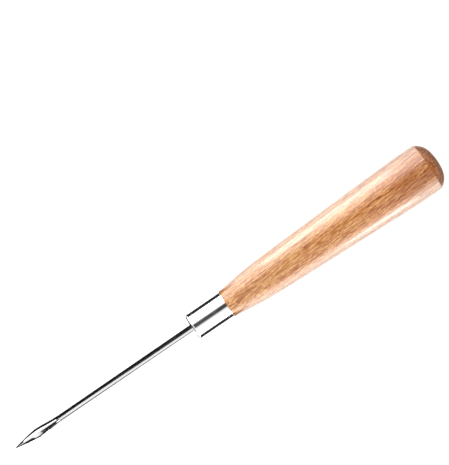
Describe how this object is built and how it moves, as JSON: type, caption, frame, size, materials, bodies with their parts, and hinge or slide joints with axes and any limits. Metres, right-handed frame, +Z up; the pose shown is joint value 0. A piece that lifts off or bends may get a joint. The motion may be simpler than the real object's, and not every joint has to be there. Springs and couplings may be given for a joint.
{
  "type": "scratch awl",
  "caption": "Awl with a turned beech handle that swells to a domed butt, a bright drawn ferrule and a thin round blade forged flat into a leaf-shaped point.",
  "frame": {"origin": "on the bench under the middle of the awl as it lies on the straight taper of its handle", "axes": "+X from the point to the butt, level; +Z up from the bench. The tool's own axis lies in the XZ plane and rises 2.18 degrees towards +X. The leaf of the blade is flat, with its width along Y."},
  "size_m": [0.1648, 0.017, 0.0173],
  "materials": {
    "beech": "gloss",
    "plated_steel": "polished",
    "blade_steel": "polished",
    "glue": "satin"
  },
  "bodies": {
    "root": {"handle": "beech", "ferrule": "plated_steel", "blade": "blade_steel", "tang_glue": "glue"}
  },
  "joints": []
}
